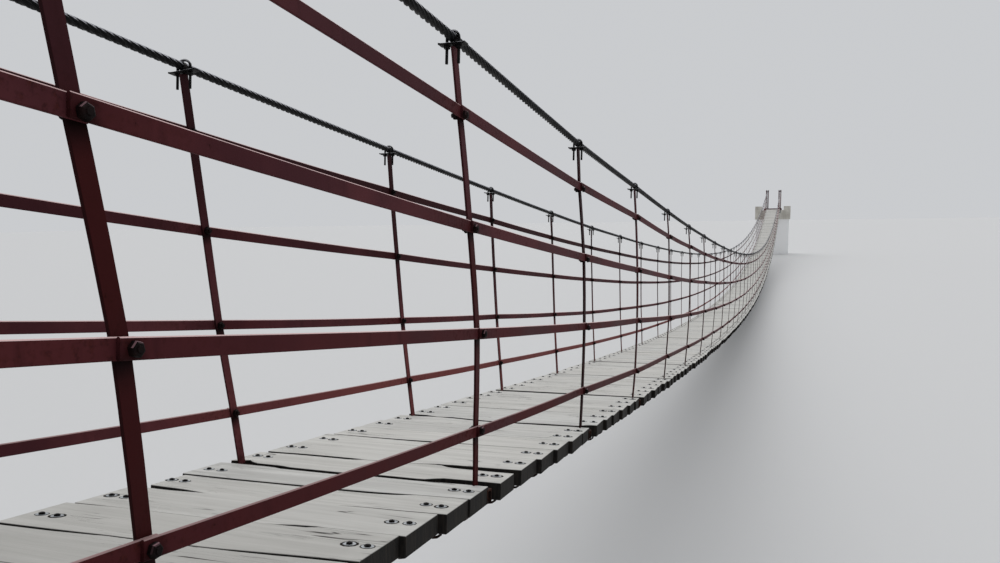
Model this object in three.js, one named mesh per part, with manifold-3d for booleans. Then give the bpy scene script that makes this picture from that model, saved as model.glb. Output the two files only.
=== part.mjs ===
// Cable suspension footbridge of 50 bays, modelled at half its real size.
// X runs along the span, from the near end to the far end. +Y is the left side of someone who walks
// that way. Z is up. The origin is the middle of the near abutment's underside.
// All dimensions below are those of the real bridge in millimetres, and scale halves them.
import * as THREE from 'three';
import { mergeVertices } from 'three/addons/utils/BufferGeometryUtils.js';
import Module from 'manifold-3d';

const wasm = await Module();
wasm.setup();

const scale = 1 / 2;

// span: frames a bay apart along a shallow arc that turns by sagTurn from end to end
const bays = 50;
const bay = 1250;
const sagTurn = 17.28 * Math.PI / 180;
const radius = bays * bay / sagTurn;
const span = 2 * radius * Math.sin(sagTurn / 2);

// parapets: flat bar posts, four flat bar rails on their outer faces, a wire rope on top
const postLine = 396;
const postLean = 7.9 * Math.PI / 180;
const railHeights = [166, 450, 740, 1023];
const ropeHeight = 1195;
const barWidth = 30;
const barThick = 6;
const barSink = 1;
const sway = 20;
const rightBow = 25;
const bowStations = [railHeights[1], railHeights[2]];
const baysPerPanel = 10;
const railLap = 24;

// deck: boards and crossbeams
const boardThick = 50;
const deckHalfWidth = 466;
const frameGap = 38;
const beamDrop = 10;
const baysPerDeck = 5;

// ropes
const handRope = 26;
const deckRope = 26;
const ropeSides = 6;
const deckRopeStep = 2.5;
const deckRopeJoints = [7.5, 15, 22.5, 27.5, 35, 42.5];

// ends: concrete abutments, a steel end beam, twin-legged portal posts, anchors
const endBeam = { gap: 8, deep: 100, tall: 110, wide: 1130 };
const abutment = { front: 20, length: 1500, width: 2240, height: 610, top: -50 };
const kerb = { inner: 690, front: 60, length: 640, top: 200, sunk: 50 };
const portalBack = 240;
const leg = { size: 50, apart: 126, rise: 24 };
const basePlate = { length: 96, width: 230, thick: 12 };
const roller = { radius: 46, sides: 12, arcSteps: 4 };
const anchor = { back: 1180, rise: 150, plate: 220, thick: 20 };
const lug = { back: 24, thick: 24, length: 120, height: 90 };
const socket = { length: 130, size: 52, sides: 10 };
const deckPlate = { wide: 200, tall: 180, thick: 16, below: 8 };

// clearance of pieces that touch, in the model's own millimetres
const seat = 0.3;

// small amounts that keep a comparison or a weld clear of rounding
const hair = 0.001;
const weld = 1e-4;

const origin = { x: -abutment.front - abutment.length / 2, z: abutment.top - abutment.height };

const oxideRed = new THREE.MeshStandardMaterial({ color: 0x5e2c30, roughness: 0.6, metalness: 0.2 });
const ropeSteel = new THREE.MeshStandardMaterial({ color: 0x24262a, roughness: 0.45, metalness: 0.8 });
const timber = new THREE.MeshStandardMaterial({ color: 0xb9b6ae, roughness: 0.9, metalness: 0 });
const concrete = new THREE.MeshStandardMaterial({ color: 0xa9a69d, roughness: 0.95, metalness: 0 });
const zincSteel = new THREE.MeshStandardMaterial({ color: 0x6f7276, roughness: 0.5, metalness: 0.8 });

const bridge = new THREE.Group();
bridge.name = 'suspension_footbridge';

// slope angle of the deck at frame s
function slopeAt(s) {
  return sagTurn * (s / bays - 0.5);
}

// point of the deck's arc at frame s, raised by h along the leaning posts, in x and z
function arcPoint(s, h = 0) {
  const a = slopeAt(s);
  return {
    x: radius * (Math.sin(a) + Math.sin(sagTurn / 2)) - h * Math.sin(postLean),
    z: radius * (Math.cos(sagTurn / 2) - Math.cos(a)) + h * Math.cos(postLean),
  };
}

// a solid joined or cut by manifold needs shared vertices, with positions only
function toSolid(geometry) {
  const plain = geometry.clone();
  plain.deleteAttribute('normal');
  plain.deleteAttribute('uv');
  const merged = mergeVertices(plain, weld);
  return new wasm.Manifold(new wasm.Mesh({
    numProp: 3,
    vertProperties: Float32Array.from(merged.attributes.position.array),
    triVerts: Uint32Array.from(merged.index.array),
  }));
}

function toGeometry(solid) {
  const mesh = solid.getMesh();
  const geometry = new THREE.BufferGeometry();
  geometry.setAttribute('position', new THREE.BufferAttribute(mesh.vertProperties, 3));
  geometry.setIndex(new THREE.BufferAttribute(mesh.triVerts, 1));
  geometry.computeVertexNormals();
  return geometry;
}

function join(geometries) {
  const solids = geometries.map(toSolid);
  return toGeometry(solids.reduce((whole, piece) => whole.add(piece)));
}

// adds a node; real dimensions are scaled and moved so that the origin is at the mount
function addNode(name, geometry, material) {
  geometry.translate(-origin.x, 0, -origin.z);
  geometry.scale(scale, scale, scale);
  const mesh = new THREE.Mesh(geometry, material);
  mesh.name = name;
  bridge.add(mesh);
}

// outline in the XZ plane, given as [x, z] pairs, made into a plate between two values of y
function sidePlate(outline, yLow, yHigh) {
  const shape = new THREE.Shape(outline.map(([x, z]) => new THREE.Vector2(x, z)));
  const geometry = new THREE.ExtrudeGeometry(shape, { depth: yHigh - yLow, bevelEnabled: false });
  geometry.rotateX(Math.PI / 2);
  geometry.translate(0, yHigh, 0);
  return geometry;
}

function box(xLow, xHigh, yLow, yHigh, zLow, zHigh) {
  const geometry = new THREE.BoxGeometry(xHigh - xLow, yHigh - yLow, zHigh - zLow);
  geometry.translate((xLow + xHigh) / 2, (yLow + yHigh) / 2, (zLow + zHigh) / 2);
  return geometry;
}

// curve whose steps fall on chosen stations, so that a sweep has no more rings than it needs
class Stations extends THREE.Curve {
  constructor(points) {
    super();
    this.points = points;
  }

  getPoint(t) {
    const place = Math.min(Math.max(t, 0), 1) * (this.points.length - 1);
    const first = Math.min(Math.floor(place), this.points.length - 2);
    return this.points[first].clone().lerp(this.points[first + 1], place - first);
  }

  getPointAt(u) {
    return this.getPoint(u);
  }

  getTangent(t) {
    const step = 0.5 / (this.points.length - 1);
    return this.getPoint(t + step).sub(this.getPoint(t - step)).normalize();
  }

  getTangentAt(u) {
    return this.getTangent(u);
  }
}

// rope of round section, with a flat of the section on top, along points of real size
function rope(points, diameter) {
  const section = new THREE.Shape();
  const half = Math.PI / ropeSides;
  const reach = diameter / 2 / Math.cos(half);
  for (let i = 0; i < ropeSides; i += 1) {
    const turn = Math.PI / 2 + half * (2 * i + 1);
    const draw = i === 0 ? 'moveTo' : 'lineTo';
    section[draw](reach * Math.cos(turn), reach * Math.sin(turn));
  }
  section.closePath();
  const extrudePath = new Stations(points);
  return new THREE.ExtrudeGeometry(section, { steps: points.length - 1, extrudePath, bevelEnabled: false });
}

// outward shift of a parapet at height h: both tops sway to the right, and the right side bows,
// with straight lengths between its stations
function outward(side, h) {
  const shift = (height) => {
    const k = height / ropeHeight;
    return side.sign > 0 ? -sway * k : sway * k + rightBow * 4 * k * (1 - k);
  };
  const stations = [0, ...bowStations, ropeHeight];
  const upper = stations.findIndex((station) => station >= h - hair);
  if (upper <= 0) return 0;
  const low = stations[upper - 1];
  const share = (h - low) / (stations[upper] - low);
  return shift(low) * (1 - share) + shift(stations[upper]) * share;
}

const sides = [{ name: 'left', sign: 1 }, { name: 'right', sign: -1 }];

// post at frame s: a bowed flat bar from the crossbeam up to the rope, its ends cut along the slope
function post(side, s) {
  const slope = slopeAt(s);
  const skew = Math.cos(postLean - slope);
  const foot = (-beamDrop * Math.cos(slope) + seat / scale) / skew;
  const head = ropeHeight - (handRope / 2 + seat / scale) / skew;
  const heights = [foot, ...(side.sign > 0 ? [] : bowStations), head];
  const outer = heights.map((h) => [postLine + outward(side, h) + barThick / 2, h]);
  const inner = outer.map(([y, h]) => [y - barThick, h]).reverse();
  const shape = new THREE.Shape([...outer, ...inner].map(([y, h]) => new THREE.Vector2(side.sign * y, h)));
  const geometry = new THREE.ExtrudeGeometry(shape, { depth: barWidth, bevelEnabled: false });
  geometry.translate(0, 0, -barWidth / 2);
  geometry.rotateX(Math.PI / 2);
  geometry.rotateZ(Math.PI / 2);
  const place = arcPoint(s);
  geometry.applyMatrix4(new THREE.Matrix4().set(
    Math.cos(slope), 0, -Math.sin(postLean), place.x,
    0, 1, 0, 0,
    Math.sin(slope), 0, Math.cos(postLean), place.z,
    0, 0, 0, 1,
  ));
  return geometry;
}

// rail at height h from s0 to s1, on the outer faces of the posts, bending at every second frame
function rail(side, h, s0, s1) {
  const frames = [s0];
  for (let s = Math.ceil(s0); s < Math.floor(s1); s += 1) {
    if (s % 2 === 0) frames.push(s);
  }
  frames.push(s1);
  const edge = (hand) => frames.map((s) => {
    const p = arcPoint(s, h);
    return [p.x, p.z + hand * barWidth / 2 / Math.cos(slopeAt(s))];
  });
  const inner = postLine + outward(side, h) + barThick / 2 - barSink;
  const y = [side.sign * inner, side.sign * (inner + barThick)].sort((p, q) => p - q);
  return sidePlate([...edge(-1), ...edge(1).reverse()], y[0], y[1]);
}

// ten bays of one parapet, posts and rails in one piece
function parapetPanel(side, index) {
  const first = index * baysPerPanel;
  const last = first + baysPerPanel;
  const lap = railLap / bay;
  const s0 = index === 0 ? -lap : first + lap + seat / scale / bay;
  const pieces = railHeights.map((h) => rail(side, h, s0, last + lap));
  for (let s = index === 0 ? 0 : first + 1; s <= last; s += 1) pieces.push(post(side, s));
  return join(pieces);
}

// five bays of deck: level boards, and the crossbeam at each frame sunk a little between them;
// the last section has the crossbeam at its far end too
function deckSection(index) {
  const first = index * baysPerDeck;
  const last = first + baysPerDeck;
  const half = frameGap / 2 / bay;
  const place = (s, drop) => {
    const p = arcPoint(s);
    return [p.x, p.z - drop];
  };
  const top = [];
  for (let s = first; s < last; s += 1) {
    top.push(place(s - half, beamDrop), place(s + half, beamDrop));
    top.push(place(s + half, 0), place(s + 1 - half, 0));
  }
  let stop = last - half - seat / scale / bay;
  top[top.length - 1] = place(stop, 0);
  if (last === bays) {
    stop = last + half;
    top.push(place(last - half, beamDrop), place(stop, beamDrop));
  }
  const low = [place(first - half, boardThick)];
  for (let s = first + deckRopeStep; s < last; s += deckRopeStep) low.push(place(s, boardThick));
  low.push(place(stop, boardThick));
  return sidePlate([...low, ...top.reverse()], -deckHalfWidth, deckHalfWidth);
}

sides.forEach((side) => {
  for (let i = 0; i < bays / baysPerPanel; i += 1) {
    addNode(`${side.name}_parapet_${i + 1}`, parapetPanel(side, i), oxideRed);
  }
});

for (let i = 0; i < bays / baysPerDeck; i += 1) {
  addNode(`deck_section_${i + 1}`, deckSection(i), timber);
}

// the two ends are alike: at(d) is the x that lies d behind the deck's end
const ends = [
  { name: 'near', frame: 0, at: (d) => -d, sign: -1 },
  { name: 'far', frame: bays, at: (d) => span + d, sign: 1 },
];

// height of the hand rope's straight run at x beyond the last frame of an end
function ropeLine(end, x) {
  const start = arcPoint(end.frame, ropeHeight);
  return start.z + (x - start.x) * Math.tan(slopeAt(end.frame));
}

// the hand rope behind one end: it bends over the portal's roller and falls to the anchor
function backstay(end, y) {
  const climb = Math.abs(slopeAt(end.frame));
  const bend = roller.radius + handRope / 2 + 2 * seat / scale;
  const centre = { back: portalBack, z: ropeLine(end, end.at(portalBack)) - bend / Math.cos(climb) };
  const foot = { back: anchor.back, z: abutment.top + anchor.rise };
  const run = foot.back - centre.back;
  const fall = Math.asin(bend / Math.hypot(run, foot.z - centre.z)) - Math.atan2(foot.z - centre.z, run);
  const points = [];
  for (let i = 0; i <= roller.arcSteps; i += 1) {
    const a = climb - (climb + fall) * i / roller.arcSteps;
    const back = centre.back - bend * Math.sin(a);
    points.push(new THREE.Vector3(end.at(back), y, centre.z + bend * Math.cos(a)));
  }
  points.push(new THREE.Vector3(end.at(foot.back), y, foot.z));
  return { points, fall, foot, centre };
}

const handLine = (side) => side.sign * (postLine + outward(side, ropeHeight));

// the hand rope's line from anchor to anchor, and the places in it of the frames between panels
function handRopeLine(side) {
  const y = handLine(side);
  const points = backstay(ends[0], y).points.reverse();
  const cuts = [];
  for (let s = 0; s <= bays; s += 1) {
    if (s % baysPerPanel === 0 && s > 0 && s < bays) cuts.push(points.length);
    const p = arcPoint(s, ropeHeight);
    points.push(new THREE.Vector3(p.x, y, p.z));
  }
  return { points: [...points, ...backstay(ends[1], y).points], cuts };
}

// the deck rope lies under the boards and butts the plates on the abutments' faces
const deckRopeDrop = boardThick + deckRope / 2 + 2 * seat / scale;
const deckRopeTip = deckRope / 2 * Math.sin(sagTurn / 2);
const deckRopeBack = abutment.front - deckPlate.thick - 2 * seat / scale - deckRopeTip;

function deckRopeLine(side) {
  const points = [];
  const cuts = [];
  for (let s = 0; s <= bays; s += deckRopeStep) {
    if (deckRopeJoints.includes(s)) cuts.push(points.length);
    const p = arcPoint(s);
    points.push(new THREE.Vector3(p.x, side.sign * postLine, p.z - deckRopeDrop));
  }
  points[0].x = ends[0].at(deckRopeBack);
  points[points.length - 1].x = ends[1].at(deckRopeBack);
  return { points, cuts };
}

// a rope is one line in several lengths that butt each other
function addRope(name, { points, cuts }, diameter) {
  const starts = [0, ...cuts];
  const stops = [...cuts, points.length - 1];
  starts.forEach((start, i) => {
    const length = points.slice(start, stops[i] + 1).map((point) => point.clone());
    if (i > 0) length[0].addScaledVector(length[1].clone().sub(length[0]).normalize(), seat / scale);
    addNode(`${name}_${i + 1}`, rope(length, diameter), ropeSteel);
  });
}

sides.forEach((side) => {
  addRope(`${side.name}_hand_rope`, handRopeLine(side), handRope);
  addRope(`${side.name}_deck_rope`, deckRopeLine(side), deckRope);
});

// box whose x is measured back from the deck's end
function endBox(end, back0, back1, yLow, yHigh, zLow, zHigh) {
  const x = [end.at(back0), end.at(back1)].sort((p, q) => p - q);
  return box(x[0], x[1], yLow, yHigh, zLow, zHigh);
}

// concrete block under the portal, with a raised kerb on each side of the path
function abutmentBlock(end) {
  const half = abutment.width / 2;
  const back = abutment.front + abutment.length;
  const block = endBox(end, abutment.front, back, -half, half, abutment.top - abutment.height, abutment.top);
  const kerbs = sides.map(({ sign }) => {
    const y = [sign * kerb.inner, sign * half].sort((p, q) => p - q);
    return endBox(end, kerb.front, kerb.front + kerb.length, y[0], y[1], abutment.top - kerb.sunk, kerb.top);
  });
  return join([block, ...kerbs]);
}

// two legs on a base plate, and between their tops the roller that carries the hand rope
function portalPost(end, side) {
  const y = handLine(side);
  const foot = abutment.top + seat / scale;
  const { centre } = backstay(end, y);
  const half = leg.size / 2;
  const parts = [-1, 1].map((hand) => {
    const middle = y + hand * leg.apart / 2;
    const head = ropeLine(end, end.at(portalBack)) + leg.rise;
    return endBox(end, portalBack - half, portalBack + half, middle - half, middle + half, foot, head);
  });
  const plate = basePlate.length / 2;
  parts.push(endBox(end, portalBack - plate, portalBack + plate, y - basePlate.width / 2,
    y + basePlate.width / 2, foot, foot + basePlate.thick));
  const wheel = new THREE.CylinderGeometry(roller.radius, roller.radius, leg.apart, roller.sides);
  wheel.translate(end.at(centre.back), y, centre.z);
  parts.push(wheel);
  return join(parts);
}

// foot plate with an upright lug, and the socket that grips the end of the hand rope
function backAnchor(end, side) {
  const y = handLine(side);
  const { fall, foot } = backstay(end, y);
  const floor = abutment.top + seat / scale;
  const plate = endBox(end, foot.back, foot.back + anchor.plate, y - anchor.plate / 2, y + anchor.plate / 2,
    floor, floor + anchor.thick);
  const ear = endBox(end, foot.back + lug.back, foot.back + lug.back + lug.length,
    y - lug.thick / 2, y + lug.thick / 2, floor + anchor.thick / 2, floor + lug.height);
  const grip = new THREE.CylinderGeometry(socket.size / 2, socket.size / 2, socket.length, socket.sides);
  grip.translate(0, -socket.length / 2 - seat / scale, 0);
  grip.rotateX(Math.PI / 2);
  grip.rotateY(-end.sign * (Math.PI / 2 - fall));
  grip.translate(end.at(foot.back), y, foot.z);
  return join([plate, ear, grip]);
}

// plate on the abutment's front face, against which the deck rope ends
function deckAnchor(end, side) {
  const face = abutment.front - seat / scale;
  const y = side.sign * postLine;
  const top = abutment.top - deckPlate.below;
  return endBox(end, face - deckPlate.thick, face, y - deckPlate.wide / 2, y + deckPlate.wide / 2,
    top - deckPlate.tall, top);
}

ends.forEach((end) => {
  addNode(`${end.name}_abutment`, abutmentBlock(end), concrete);
  const wide = endBeam.wide / 2;
  const beamFront = frameGap / 2 + endBeam.gap;
  const beam = endBox(end, beamFront, beamFront + endBeam.deep, -wide, wide,
    abutment.top + seat / scale, abutment.top + endBeam.tall);
  addNode(`${end.name}_end_beam`, beam, oxideRed);
  sides.forEach((side) => {
    addNode(`${end.name}_${side.name}_portal_post`, portalPost(end, side), oxideRed);
    addNode(`${end.name}_${side.name}_back_anchor`, backAnchor(end, side), zincSteel);
    addNode(`${end.name}_${side.name}_deck_anchor`, deckAnchor(end, side), zincSteel);
  });
});

export default bridge;
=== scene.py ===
# Wire rope suspension footbridge: the looks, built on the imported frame.
# Sizes in the dictionaries are those of the real bridge, in millimetres, and toModel() halves them. Only the
# camera, the studio, the patterns of the materials and easing's merge are in the model's own metres.
import math
from itertools import product

import bmesh
import bpy
import numpy as np
from mathutils import Matrix, Vector


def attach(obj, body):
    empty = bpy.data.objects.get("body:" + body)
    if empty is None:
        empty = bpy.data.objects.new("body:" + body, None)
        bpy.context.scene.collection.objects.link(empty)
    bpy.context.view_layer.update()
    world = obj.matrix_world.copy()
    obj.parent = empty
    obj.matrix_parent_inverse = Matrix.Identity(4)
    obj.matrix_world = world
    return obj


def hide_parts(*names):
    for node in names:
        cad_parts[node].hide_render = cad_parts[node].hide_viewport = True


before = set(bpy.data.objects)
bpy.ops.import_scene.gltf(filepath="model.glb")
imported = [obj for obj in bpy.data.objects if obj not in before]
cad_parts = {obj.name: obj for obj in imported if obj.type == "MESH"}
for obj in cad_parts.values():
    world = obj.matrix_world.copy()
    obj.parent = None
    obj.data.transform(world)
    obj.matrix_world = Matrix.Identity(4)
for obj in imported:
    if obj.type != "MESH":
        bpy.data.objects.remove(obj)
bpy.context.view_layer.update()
print("frame loaded:", len(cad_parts), "nodes")

layout = {
    "scale": 0.5,
    "origin": (-770, 0, -660),  # the real place of the model's origin, seen from frame 0's deck top
    "bays": 50,
    "bay": 1250,
    "turn": math.radians(17.28),  # how far the deck's arc turns from end to end
    "postLine": 396,
    "lean": math.radians(7.9),  # the posts lean back towards the near end
    "ropeHeight": 1195,
    "sway": 20,  # both parapets lie this far to the right at rope height,
    "splay": 10,  # and this far outwards,
    "splayBays": 3,  # which grows from nothing over the first bays from either end
    "bow": {"left": 6, "right": 25},
    "sign": {"left": 1, "right": -1},
}
sides = ("left", "right")
ends = ("near", "far")
bays, sign = layout["bays"], layout["sign"]
radius = bays * layout["bay"] / layout["turn"]
spanLength = 2 * radius * math.sin(layout["turn"] / 2)
frames = np.arange(bays + 1.0)
halfBays = np.arange(0, bays + 0.01, 0.5)
deckLine = {side: sign[side] * layout["postLine"] for side in sides}
handLine = {side: sign[side] * layout["postLine"] - layout["sway"] for side in sides}
yAxis, zAxis = np.array([0.0, 1.0, 0.0]), np.array([0.0, 0.0, 1.0])

# how far bars are out of line at each frame, in mm outwards and upwards, at these heights on the post
unevenness = {
    "levels": [0, 166, 450, 740, 1023, 1195],
    "spread": 2.5,
    "seed": {"out": 3, "lift": 13},
    "out": {
        ("right", 4): (0, -1, 7, -3, -3, 0), ("right", 5): (0, -3, 4, -2, -3, 2),
        ("right", 6): (0, -2, -2, -1, -5, 4), ("right", 7): (0, 0, -2, -3, -2, 1),
        ("left", 5): (2, -1, 3, -2, -3, -2), ("left", 6): (-2, 0, 3, 1, 1, 0),
        ("left", 7): (0, 0, 2, 1, 1, 0), ("left", 8): (-1, -1, -1, -3, -3, 2),
    },
    "lift": {
        ("right", 4): (0, 3.6, 1.3, 1, -2.3, 0), ("right", 5): (0, -0.8, -1.5, -4, -0.5, 5),
        ("right", 6): (0, 3, 0, -3, -4, -10), ("right", 7): (0, -4, 7, 2, 8, 0),
        ("left", 4): (0, 2.5, -2.3, 0.5, -5, -1.9),
        ("left", 5): (0, -1, -2, -6, -9, -3), ("left", 6): (0, 5, 1, 2, -2, 0),
        ("left", 7): (0, 6, 7, 2, 4, 0), ("left", 8): (0, 6, 3, 1, -1, 0),
    },
}

def sideRandom(side, seed):
    # random numbers for one side, the same in every run
    return np.random.default_rng(seed + (side == "right"))


def unevenTable(side, kind):
    # one row a frame, one column a level: small random faults, and the known ones put in their places
    spread = unevenness["spread"]
    rng = sideRandom(side, unevenness["seed"][kind])
    table = rng.uniform(-spread, spread, (len(frames), len(unevenness["levels"])))
    table[:, 0] = 0
    table[[0, -1]] = 0
    for (where, number), row in unevenness[kind].items():
        if where == side:
            table[number] = row
    return table


unevenTables = {(side, kind): unevenTable(side, kind) for side in sides for kind in ("out", "lift")}


def unevenAt(side, kind, s, h):
    # bilinear between the frames on either side of s and the levels on either side of h
    table, levels = unevenTables[side, kind], np.array(unevenness["levels"])
    s, h = np.broadcast_arrays(np.clip(s, 0, bays), np.clip(h, 0, levels[-1]))
    i = np.minimum(s.astype(int), bays - 1)
    j = np.minimum(np.searchsorted(levels, h, "right") - 1, len(levels) - 2)
    f, g = s - i, (h - levels[j]) / (levels[j + 1] - levels[j])
    near = table[i, j] * (1 - g) + table[i, j + 1] * g
    far = table[i + 1, j] * (1 - g) + table[i + 1, j + 1] * g
    return near * (1 - f) + far * f


# places on the bridge: s counts bays from the near end, h runs up the posts from the deck's top
def slopeAt(s):
    # slope angle = turn * (s / bays - 1/2)
    return layout["turn"] * (np.asarray(s, float) / bays - 0.5)


def arcPoint(s, h=0.0):
    # deck arc: x = R (sin a + sin(turn/2)), z = R (cos(turn/2) - cos a), and from there h up the leaning post
    a = slopeAt(s)
    x = radius * (np.sin(a) + math.sin(layout["turn"] / 2)) - h * math.sin(layout["lean"])
    z = radius * (math.cos(layout["turn"] / 2) - np.cos(a)) + h * math.cos(layout["lean"])
    return x, z


def parapetPoint(side, s, h):
    # middle surface of a parapet: y = sign * (post line + bow parabola + splay + fault) - sway * k, with
    # k = h / rope height, and x and z on the arc's leaning posts, lifted by the fault
    s, k = np.asarray(s, float), np.asarray(h, float) / layout["ropeHeight"]
    ease = np.clip(np.minimum(s, bays - s) / layout["splayBays"], 0, 1)
    out = layout["bow"][side] * 4 * k * (1 - k) + layout["splay"] * k * ease + unevenAt(side, "out", s, h)
    x, z = arcPoint(s, h)
    return x, sign[side] * (layout["postLine"] + out) - layout["sway"] * k, z + unevenAt(side, "lift", s, h)


def endX(end, back):
    # x of a point that lies back behind the deck's end
    return -back if end == "near" else spanLength + back


def toModel(points):
    # model = (real point - origin) * scale, from millimetres to metres
    return (points - np.array(layout["origin"])) * layout["scale"] / 1000


# meshes
def sweep(rings):
    # rings is (copies, stations, ring points, 3): each copy's profile carried along its path, with flat ends
    # closed by strips of quads between opposite points of the ring
    copies, stations, n, _ = rings.shape
    i = np.arange(stations - 1)[:, None] * n
    j = np.arange(n)[None, :]
    k = (j + 1) % n
    wall = np.stack([i + j, i + k, i + n + k, i + n + j], -1).reshape(-1, 4)
    c = np.arange(n // 2 - 1)
    first = np.stack([c, n - 1 - c, n - 2 - c, c + 1], -1)
    last = np.stack([c, c + 1, n - 2 - c, n - 1 - c], -1) + (stations - 1) * n
    quads = np.concatenate([wall, first, last])
    solid = rings.reshape(copies, stations * n, 3)
    corner = solid[0][quads] - solid[0].mean(0)
    volume = np.einsum("ij,ij->", corner[:, 0], np.cross(corner[:, 1], corner[:, 2]))
    volume += np.einsum("ij,ij->", corner[:, 0], np.cross(corner[:, 2], corner[:, 3]))
    if volume < 0:  # the faces look inwards
        quads = quads[:, ::-1]
    offsets = np.arange(copies)[:, None, None] * stations * n
    return solid.reshape(-1, 3), (quads[None] + offsets).reshape(-1, 4)


def barRing(width, thick, chamfer):
    # flat bar with chamfered edges: eight points in (width, thickness), starting beside a corner
    a, b, c = width / 2, thick / 2, chamfer
    return np.array([[-a, b - c], [-a + c, b], [a - c, b], [a, b - c],
                     [a, -b + c], [a - c, -b], [-a + c, -b], [-a, -b + c]])


def roundRing(r, n, turn=0.0):
    # circle: (r cos t, r sin t) for n values of t
    t = np.arange(n) * 2 * math.pi / n + turn
    return np.stack([r * np.cos(t), r * np.sin(t)], -1)


def hexRing(across):
    # hexagon of a given width over its flats
    return roundRing(across / 2 / math.cos(math.pi / 6), 6)


def carry(centres, across, up, ring):
    # point = centre + u * across + v * up, for every ring point (u, v) at every station
    ring = np.broadcast_to(ring, centres.shape[:-1] + ring.shape[-2:])
    return centres[..., None, :] + ring[..., 0:1] * across[..., None, :] + ring[..., 1:2] * up[..., None, :]


def vectors(*parts):
    # stacks x, y and z arrays of any matching shapes into vectors
    return np.stack(np.broadcast_arrays(*[np.asarray(p, float) for p in parts]), -1)


def axesAt(a):
    # unit vectors along a line that climbs at the angle a, and square to it
    return vectors(np.cos(a), 0, np.sin(a)), vectors(-np.sin(a), 0, np.cos(a))


def turned(ringPoints, stops, centre, axis, across):
    # a turned solid: for each stop (distance, size) the ring is scaled by size and set at distance along axis
    up = np.cross(axis, across)
    rings = [carry(centre + distance * axis, across, up, ringPoints * size) for distance, size in stops]
    return np.stack(rings, -3)


def addObject(name, data):
    # puts an object into the scene
    added = bpy.data.objects.new(name, data)
    bpy.context.scene.collection.objects.link(added)
    return added


def makePiece(name, groups, material, nodes=(), smooth=False, values=None):
    # sweeps each group of rings and joins them in one mesh; values are per-point attributes
    points, quads, start = [], [], 0
    for rings in groups:
        groupPoints, groupQuads = sweep(rings)
        points.append(groupPoints)
        quads.append(groupQuads + start)
        start += len(groupPoints)
    points, quads = toModel(np.concatenate(points)), np.concatenate(quads)
    mesh = bpy.data.meshes.new(name)
    mesh.vertices.add(len(points))
    mesh.vertices.foreach_set("co", points.astype(np.float32).ravel())
    mesh.loops.add(quads.size)
    mesh.loops.foreach_set("vertex_index", quads.astype(np.int32).ravel())
    mesh.polygons.add(len(quads))
    mesh.polygons.foreach_set("loop_start", np.arange(0, quads.size, 4, dtype=np.int32))
    mesh.polygons.foreach_set("use_smooth", np.full(len(quads), smooth))
    mesh.update(calc_edges=True)
    for label, array in (values or {}).items():
        attribute = mesh.attributes.new(label, "FLOAT", "POINT")
        attribute.data.foreach_set("value", np.asarray(array, np.float32).ravel())
    mesh.materials.append(material)
    piece = addObject(name, mesh)
    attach(piece, "root")
    if nodes:
        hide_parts(*nodes)


def parapetNodes(side):
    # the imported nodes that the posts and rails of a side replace
    return [f"{side}_parapet_{i}" for i in range(1, 6)]


def spreadOver(shape, **arrays):
    # repeats each array round the ring
    return {label: np.broadcast_to(array[..., None], shape) for label, array in arrays.items()}


def perFrame(known, usual):
    # one row of values a frame: the known ones, or else the usual ones
    return np.array([known.get(number, usual) for number in range(len(frames))])


def rise(value, start, stop):
    # 0 at the start, 1 at the stop, straight between them
    return np.clip((value - start) / (stop - start), 0, 1)


def hill(distance, width):
    # bell = e^-(distance / width)^2
    return np.exp(-(distance / width) ** 2)


# materials
finish = {  # screen colours out of 255
    "paintDark": (71, 37, 42), "paintLight": (90, 48, 52), "paintRed": (62, 16, 13),
    "paintShade": (50, 23, 26), "paintLit": (132, 74, 72), "paintShaded": (36, 18, 20),
    "paintShadow": (5, 3, 3), "paintHighlight": (226, 194, 192),
    "rustDark": (24, 13, 11), "rustLight": (62, 28, 20),
    "woodPale": (202, 201, 197), "woodGrey": (179, 178, 174), "woodWarm": (202, 198, 190),
    "woodShade": (156, 154, 149), "woodCrack": (34, 29, 25), "woodSideShade": (10, 8, 6),
    "woodSideShadeLight": (32, 27, 22),
    "ropeDark": (9, 9, 11), "ropeLight": (27, 28, 30), "ropeValley": (4, 4, 5), "ropeHighlight": (160, 160, 166),
    "ironHighlight": (186, 185, 188), "boltRimHighlight": (128, 96, 102), "zincDark": (112, 116, 120),
    "zincLight": (150, 153, 155), "concreteDark": (188, 184, 175), "concreteLight": (216, 213, 205),
    "concreteRun": (140, 136, 126), "concreteHole": (90, 86, 78),
}
irons = {  # dark and light tone, roughness, then how strong a painted highlight the tops that look up get, in what colour, and where only
    "darkIron": ((22, 17, 15), (54, 34, 26), 0.8), "blackIron": ((7, 5, 6), (20, 15, 15), 0.55),
    # the bolt heads' chamfers get a painted highlight
    "boltIron": ((8, 3, 3), (25, 11, 10), 0.65, 0.8, "boltRimHighlight", "rimHighlight"),
    "clampIron": ((7, 7, 8), (24, 22, 22), 0.5, 0.8), "rustyBeamShaded": ((24, 15, 12), (58, 32, 23), 0.85),
    "recessShadowStain": ((20, 17, 15), (44, 36, 30), 0.9),
}
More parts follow.
